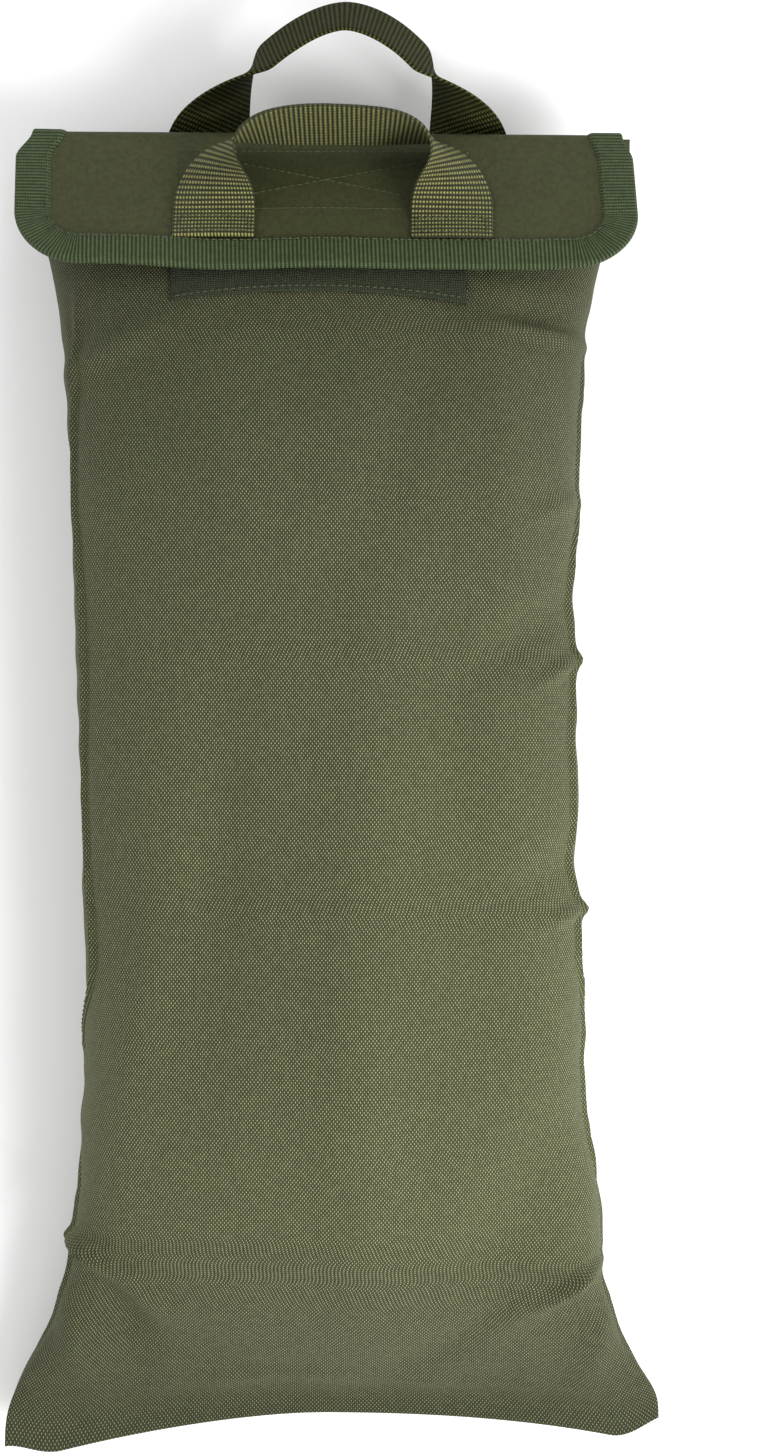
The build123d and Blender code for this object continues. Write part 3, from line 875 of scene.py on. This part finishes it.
def stitchRow(name, path, normals, bodies, nodes, look=stitch):
    # short capsules set end to end along a path, each a ring of points swept between two ends
    # that dip into the cloth; the path is an array of points in millimetres
    run = np.concatenate([[0], np.cumsum(np.linalg.norm(np.diff(path, axis=0), axis=1))])
    count = max(1, int(run[-1] / (look["length"] + look["gap"])))
    starts = (np.arange(count) + 0.5) / count * run[-1]
    along = np.linspace(-0.5, 0.5, 6)
    places = starts[:, None] + along[None] * look["length"]
    centre = np.stack([np.interp(places, run, path[:, i]) for i in range(3)], -1)
    up = np.stack([np.interp(places, run, normals[:, i]) for i in range(3)], -1)
    up /= np.linalg.norm(up, axis=-1, keepdims=True)
    heading = np.gradient(centre, axis=1)
    heading /= np.maximum(np.linalg.norm(heading, axis=-1, keepdims=True), 1e-9)
    side = np.cross(heading, up)
    arch = np.cos(along * pi * 0.96)
    around = 2 * pi * np.arange(8) / 8
    thick = look["radius"] * (0.35 + 0.65 * arch)
    base = centre + up * (look["radius"] * 1.1 * arch - look["bury"])[None, :, None]
    ring = up[:, :, None] * np.sin(around)[None, None, :, None] + side[:, :, None] * np.cos(around)[None, None, :, None]
    points = base[:, :, None] + ring * thick[None, :, None, None]
    one = np.concatenate([gridFaces(6, 8, closed=True), ringCap(8)[:, ::-1], ringCap(8, 40)])
    faces = (one[None] + 48 * np.arange(count)[:, None, None]).reshape(-1, 4)
    uv = np.stack(np.broadcast_arrays(around[None, None] * 0.3, places[:, :, None]), -1)
    piece = makePiece(name, points.reshape(-1, 3) * mm, faces, uv.reshape(-1, 2) * mm, threadPaint)
    if isinstance(bodies, str):
        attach(piece, bodies)
    else:
        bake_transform(piece)
    if nodes:
        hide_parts(*nodes)
    return piece


def flapLine(corners, height, step=1.0):
    # a polyline over the flap's face: corners are (u, v) pairs in millimetres
    corners = np.array(corners, float)
    run = np.concatenate([[0], np.cumsum(np.linalg.norm(np.diff(corners, axis=0), axis=1))])
    even = np.linspace(0, run[-1], max(2, int(run[-1] / step)))
    u, v = np.interp(even, run, corners[:, 0]), np.interp(even, run, corners[:, 1])
    point, normal = flapFace(u, v)
    return point + normal * height, normal


crossBox = {"left": -69.0, "right": 69.0, "low": 9.0, "high": 43.0, "stitch": 2.6, "radius": 0.3}
edgeThread = {"margin": 1.8, "step": 1.0, "lift": 1.05, "start": 1.0}


def crossCorner(side, end):
    return crossBox[side], crossBox[end]


lowLeft, lowRight = crossCorner("left", "low"), crossCorner("right", "low")
highLeft, highRight = crossCorner("left", "high"), crossCorner("right", "high")
boxPath = flapLine([lowLeft, lowRight, highRight, highLeft, lowLeft, highRight, highLeft, lowRight], 0.0)
boxStitch = dict(stitch, length=crossBox["stitch"], radius=crossBox["radius"])
stitchRow("hookStripThread", *boxPath, "flap", ["hook_strip_stitching"], boxStitch)
edgeU, edgeV = edgePath(flap["binding"] - edgeThread["margin"], edgeThread["step"])[:2]
facePoint, faceNormal = flapFace(edgeU, edgeV)
keepRow = edgeV > edgeThread["start"]
edgeRow = (facePoint + faceNormal * edgeThread["lift"])[keepRow]
stitchRow("bindingThread", edgeRow, faceNormal[keepRow], "flap", ["flap_binding_stitching"])
print("flap thread ready")


loop = {
    "left": -75.0,
    "right": 62.0,
    "low": 220.5,
    "high": 258.0,
    "thick": 1.5,
    "sink": 0.3,
    "lift": 0.5,
    "bow": 5.5,
    "bowMiddle": -7,
    "bowReach": 70,
    "threadMargin": 2.2,
    "threadEnd": 2,
}


def bodyTop(x, y, lift):
    # height of the bag's crown over a point, raised by the lift
    rise = (1 - bag["seamShare"]) * thicknessAt(y)
    inside = np.clip(1 - np.abs(x / halfWidthAt(y)) ** bag["crownPower"], 0, 1)
    return seamHeightAt(y) + rise * inside ** (1 / bag["crownPower"]) + lift


def loopBow(x):
    # the strip arches upward in its middle
    return loop["bow"] * np.maximum(1 - ((x - loop["bowMiddle"]) / loop["bowReach"]) ** 2, 0)


def buildLoopStrip():
    x, y = np.meshgrid(np.linspace(loop["left"], loop["right"], 150), np.linspace(loop["low"], loop["high"], 44))
    fuzz = 0.12 * softNoise(x / 0.9, y / 0.9, 41) + 0.15 * softNoise(x / 8, y / 8, 42)
    y = y + loopBow(x)
    z = bodyTop(x, y, loop["lift"] + loop["thick"]) + fuzz
    point = np.stack([x, y, z], -1)
    normal = surfaceNormals(point)
    points, faces, uv = closedSheet(point, normal, loop["thick"] + loop["sink"], np.stack([x, y], -1))
    strip = makePiece("loopStrip", points * mm, faces, uv * mm, hookAndLoop)
    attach(strip, "bag")
    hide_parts("loop_strip")
    margin, end = loop["threadMargin"], loop["threadEnd"]
    for name, rowY, nodes in (
        ("loopThreadLow", loop["low"] + margin, ["loop_strip_stitching"]),
        ("loopThreadHigh", loop["high"] - margin, []),
    ):
        rowX = np.linspace(loop["left"] + end, loop["right"] - end, 140)
        ys = rowY + loopBow(rowX)
        rowZ = bodyTop(rowX, ys, loop["lift"] + loop["thick"])
        path = np.stack([rowX, ys, rowZ], -1)
        up = np.stack([0.0035 * rowX, np.full_like(rowX, 0.45), np.ones_like(rowX)], -1)
        stitchRow(name, path, up, "bag", nodes)


buildLoopStrip()


hook = {"half": 68, "low": 20.0, "high": 58.0, "thick": 1.3, "gap": 0.1, "stubble": 0.25, "pitch": 2.1}


def buildHookStrip():
    u, v = np.meshgrid(np.linspace(-hook["half"], hook["half"], 160), np.linspace(hook["low"], hook["high"], 50))
    point, normal = flapFace(u, v)
    depth = flap["thickness"] + hook["gap"]
    stubble = hook["stubble"] * np.abs(np.sin(u * hook["pitch"]) * np.sin(v * hook["pitch"]))
    points, faces, uv = closedSheet(point - normal * depth, normal, hook["thick"], np.stack([u, v], -1))
    count = u.size
    points[count:] -= (normal * stubble[..., None]).reshape(-1, 3)
    strip = makePiece("hookStrip", points * mm, faces, uv * mm, hookAndLoop)
    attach(strip, "flap")
    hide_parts("hook_strip")


buildHookStrip()
print("hook and loop ready")


hemTape = {"start": 12, "end": 168, "width": 9, "past": 0.6, "standOff": 1.25, "thick": 0.9}


def buildHem():
    # a tape folded over the mouth's upper edge: a thin sheet outside the cloth
    angle = np.linspace(radians(hemTape["start"]), radians(hemTape["end"]), 200)
    y = np.linspace(bag["mouthY"] - hemTape["width"], bag["mouthY"] + hemTape["past"], 12)
    angle, y = np.meshgrid(angle, y)
    x, z = sectionPoints(angle, np.minimum(y, bag["mouthY"]), -hemTape["standOff"])
    z = z + 0.12 * softNoise(x / 9, y / 4, 51)
    point = slumped(np.stack([x, y, z], -1))
    normal = -surfaceNormals(point)
    normal = normal * np.sign(normal[..., 2:3] + 1e-9)
    points, faces, uv = closedSheet(point, normal, hemTape["thick"], np.stack([x, y], -1))
    hem = makePiece("mouthHem", points * mm, faces, uv[:, ::-1] * mm, bindingTape)
    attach(hem, "bag")
    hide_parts("mouth_hem_tape")


tabStrip = {"half": 140, "overlap": 8, "end": 305.0, "height": 38.05, "rise": 0.5, "riseStart": 302, "thick": 0.95}


def buildTab():
    # the strip of cloth from under the lower lip to the foot of the flap
    half, end = tabStrip["half"], tabStrip["end"]
    x, y = np.meshgrid(np.linspace(-half, half, 120), np.linspace(bag["mouthY"] - tabStrip["overlap"], end, 16))
    climb = tabStrip["rise"] * smoothStep(tabStrip["riseStart"], end, y)
    z = tabStrip["height"] + climb + 0.1 * softNoise(x / 15, y / 6, 61)
    point = np.stack([x, y, z], -1)
    normal = np.zeros_like(point)
    normal[..., 2] = 1
    points, faces, uv = closedSheet(point, normal, tabStrip["thick"], np.stack([x, y], -1))
    tab = makePiece("flapTab", points * mm, faces, uv * mm, flapClothPaint)
    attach(tab, "bag")
    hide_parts("flap_hinge_tab")


buildHem()
buildTab()


seamTape = {"reach": 195, "half": 6, "inside": 4.2, "thick": 0.8}


def buildSeamTapes():
    # thin tapes over the raw edges, standing just inside each seam
    reach, half = seamTape["reach"], seamTape["half"]
    for side, name, node in (
        (-1, "leftSeamTape", "side_seam_tape_left"),
        (1, "rightSeamTape", "side_seam_tape_right"),
    ):
        y, up = np.meshgrid(np.linspace(-reach, reach, 160), np.linspace(-half, half, 10), indexing="ij")
        x = side * (halfWidthAt(y) - seamTape["inside"] + 0.2 * softNoise(y / 9, up / 4, 71))
        point = slumped(np.stack([x, y, seamHeightAt(y) + up], -1))
        normal = np.zeros_like(point)
        normal[..., 0] = side
        points, faces, uv = closedSheet(point, normal, seamTape["thick"], np.stack([up, y], -1))
        tape = makePiece(name, points * mm, faces, uv * mm, bindingTape)
        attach(tape, "bag")
        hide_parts(node)


buildSeamTapes()
print("hem and tapes ready")


innerShape = {
    "bottomRound": 34,
    "bottomShare": 0.25,
    "shoulder": 62,
    "pleatStart": 55,
    "pleatFull": 8,
    "pleats": 14,
    "around": 160,
}


def shrunken(angle, y, inset, lowY, highY, neckWide, neckHigh):
    # the bag's section drawn in by the inset, rounded off at lowY and gathered to a neck at highY
    low = np.sqrt(1 - (1 - np.clip((y - lowY) / innerShape["bottomRound"], 0, 1)) ** 2)
    high = np.sqrt(1 - (1 - np.clip((highY - y) / innerShape["shoulder"], 0, 1)) ** 2)
    x, z = sectionPoints(angle, y, inset)
    middle = seamHeightAt(y)
    wide = halfWidthAt(y) - inset
    share = innerShape["bottomShare"]
    keepWide = (neckWide + (wide - neckWide) * high) / wide * (share + (1 - share) * low)
    keepHigh = np.maximum(high * low, neckHigh / (thicknessAt(y) / 2))
    return x * keepWide, middle + (z - middle) * np.minimum(keepHigh, 1)


def buildInner(name, inset, lowY, highY, neckWide, neckHigh, pleat, material, slotName, nodes):
    angle = 2 * pi * np.arange(innerShape["around"]) / innerShape["around"]
    y = np.linspace(lowY, highY, 200)
    angles, ys = np.meshgrid(angle, y)
    x, z = shrunken(angles, ys, inset, lowY - 1, highY + 2, neckWide, neckHigh)
    neck = smoothStep(highY - innerShape["pleatStart"], highY - innerShape["pleatFull"], ys)
    fold = 1 + pleat * neck * np.sin(angles * innerShape["pleats"] + 0.6 * np.sin(ys / 9))
    middle = seamHeightAt(ys)
    points = slumped(np.stack([x * fold, ys, middle + (z - middle) * fold], -1))
    first, last = points[:1].copy(), points[-1:].copy()
    for end in (first, last):
        end[...] = end.mean(1, keepdims=True)
    every = np.concatenate([first, points, last])
    uv = np.stack([every[..., 0], every[..., 1]], -1)
    faces = gridFaces(len(every), innerShape["around"], closed=True)[:, ::-1]
    piece = makePiece(name, every.reshape(-1, 3) * mm, faces, uv.reshape(-1, 2) * mm, material)
    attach(piece, "bag")
    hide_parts(*nodes)
    return piece


liner = {"inset": 8.5, "lowY": -272, "highY": 268, "neckWide": 11.0, "neckHigh": 4.4, "pleat": 0.12}
sand = {"inset": 9.5, "lowY": -268, "highY": 246, "neckWide": 40.0, "neckHigh": 5.0, "pleat": 0.0}
linerNodes = ["liner_front_film", "liner_back_film"]
linerBag = buildInner("linerBag", **liner, material=linerFilm, slotName="liner_film", nodes=linerNodes)
buildInner("sandFill", **sand, material=sandPaint, slotName="sand", nodes=["sand_fill"])


tie = {"y": 264.5, "halfWidth": 14.6, "halfHeight": 7.2, "width": 4.6, "thick": 1.5, "around": 96, "section": 12}


def buildTie():
    # a band round the neck: a thin rounded section carried round an oval
    rounds, corners = tie["around"], tie["section"]
    around = 2 * pi * np.arange(rounds) / rounds
    turn = 2 * pi * np.arange(corners) / corners
    outward = np.stack([np.cos(around) * tie["halfHeight"], 0 * around, np.sin(around) * tie["halfWidth"]], -1)
    outward /= np.linalg.norm(outward, axis=1, keepdims=True)
    oval = np.stack([tie["halfWidth"] * np.cos(around), 0 * around, tie["halfHeight"] * np.sin(around)], -1)
    centre = oval + np.array([0, tie["y"], seamHeightAt(tie["y"])])
    across = tie["width"] / 2 * np.sign(np.cos(turn)) * np.abs(np.cos(turn)) ** 0.5
    deep = tie["thick"] / 2 * np.sign(np.sin(turn)) * np.abs(np.sin(turn)) ** 0.5
    points = centre[:, None] + outward[:, None] * deep[None, :, None] + np.array([0, 1.0, 0]) * across[None, :, None]
    ring, lastRing = np.arange(corners), (rounds - 1) * corners
    following = (ring + 1) % corners
    closing = np.stack([lastRing + ring, lastRing + following, following, ring], -1)
    faces = np.concatenate([gridFaces(rounds, corners, closed=True), closing])
    uv = np.stack(np.broadcast_arrays(across[None], around[:, None] * 12), -1)
    band = makePiece("linerTie", points.reshape(-1, 3) * mm, faces, uv.reshape(-1, 2) * mm, tiePaint)
    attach(band, "bag")
    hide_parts("liner_tie")


buildTie()


seamEnd = {"half": 119, "outer": -293, "inner": -285, "lift": 0.6, "thick": 1.2}


def buildBottomTape():
    # a tape folded along the raw edges of the bottom seam, inside the bag
    half = seamEnd["half"]
    x, y = np.meshgrid(np.linspace(-half, half, 160), np.linspace(seamEnd["outer"], seamEnd["inner"], 10))
    z = seamHeightAt(y) + seamEnd["lift"] + 0.15 * softNoise(x / 12, y / 4, 81)
    point = np.stack([x, y, z], -1)
    normal = surfaceNormals(point)
    points, faces, uv = closedSheet(point, normal, seamEnd["thick"], np.stack([y, x], -1))
    tape = makePiece("bottomTape", points * mm, faces, uv * mm, bindingTape)
    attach(tape, "bag")
    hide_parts("bottom_seam_tape")


buildBottomTape()
print("liner, sand and tie ready")


tailBox = {"side": 16.0, "end": 2.0}


def buildTailThread(name, look, body, node, liftWay):
    # a stitched rectangle on the outer face of each tail
    back, over = np.array([0, *look["tailWay"]]), np.array([0, *look["tailUp"]]) * liftWay
    foot = np.array([0, *look["axis"]]) + over * look["face"]
    near, far = tailBox["end"], look["tail"] - tailBox["end"]
    corners = [(-1, near), (1, near), (1, far), (-1, far), (-1, near)]
    for side in (-1, 1):
        middle = side * look["span"]
        places = [foot + back * reach + np.array([middle + edge * tailBox["side"], 0, 0]) for edge, reach in corners]
        places = np.array(places)
        run = np.concatenate([[0], np.cumsum(np.linalg.norm(np.diff(places, axis=0), axis=1))])
        even = np.linspace(0, run[-1], 200)
        path = np.stack([np.interp(even, run, places[:, i]) for i in range(3)], -1)
        ending, nodes = ("Left", [node]) if side < 0 else ("Right", [])
        stitchRow(name + ending, path, np.repeat(over[None], len(path), 0), body, nodes)


buildTailThread("frontTailThread", frontHandleLook, "flap", "front_handle_stitching", 1)
buildTailThread("backTailThread", backHandleLook, "bag", "back_handle_stitching", -1)
print("tail thread ready")


studio = {
    "floorSize": 9.0,
    "keyPower": 52.0,
    "keySize": 1.1,
    "keyPlace": (1.3, -0.95, 1.5),
    "fillPower": 5.0,
    "fillPlace": (-1.2, 0.9, 1.6),
    "fillSize": 1.4,
    "sky": 0.86,
    "cameraHeight": 1.56,
    "cameraPlace": (0.0276, 0.0248),
    "cameraRoll": 0.4,
    "viewHeight": 0.6814,
    "measuredAt": 0.06,
}


def buildStudio():
    bpy.ops.mesh.primitive_plane_add(size=studio["floorSize"])
    floor = bpy.context.object
    floor.name = "studioFloor"
    paint = bpy.data.materials.new("pale floor")
    paint.use_nodes = True
    surface = paint.node_tree.nodes["Principled BSDF"]
    surface.inputs["Base Color"].default_value = (0.98, 0.98, 0.98, 1)
    surface.inputs["Roughness"].default_value = 0.8
    floor.data.materials.append(paint)
    world = bpy.data.worlds.new("soft white")
    world.use_nodes = True
    world.node_tree.nodes["Background"].inputs["Color"].default_value = (1, 1, 1, 1)
    world.node_tree.nodes["Background"].inputs["Strength"].default_value = studio["sky"]
    bpy.context.scene.world = world
    for name, place, power, size in (
        ("keyLight", studio["keyPlace"], studio["keyPower"], studio["keySize"]),
        ("fillLight", studio["fillPlace"], studio["fillPower"], studio["fillSize"]),
    ):
        lamp = bpy.data.lights.new(name, "AREA")
        lamp.energy = power
        lamp.size = size
        light = bpy.data.objects.new(name, lamp)
        bpy.context.scene.collection.objects.link(light)
        light.location = place
        light.rotation_euler = (-light.location).to_track_quat("-Z", "Y").to_euler()
    lens = bpy.data.cameras.new("overheadCamera")
    lens.sensor_fit = "VERTICAL"
    lens.sensor_height = 24.0
    lens.lens = lens.sensor_height * (studio["cameraHeight"] - studio["measuredAt"]) / studio["viewHeight"]
    camera = bpy.data.objects.new("overheadCamera", lens)
    bpy.context.scene.collection.objects.link(camera)
    camera.location = (*studio["cameraPlace"], studio["cameraHeight"])
    camera.rotation_euler = (0, 0, radians(studio["cameraRoll"]))
    bpy.context.scene.camera = camera


buildStudio()
bpy.context.scene.view_settings.view_transform = "Standard"
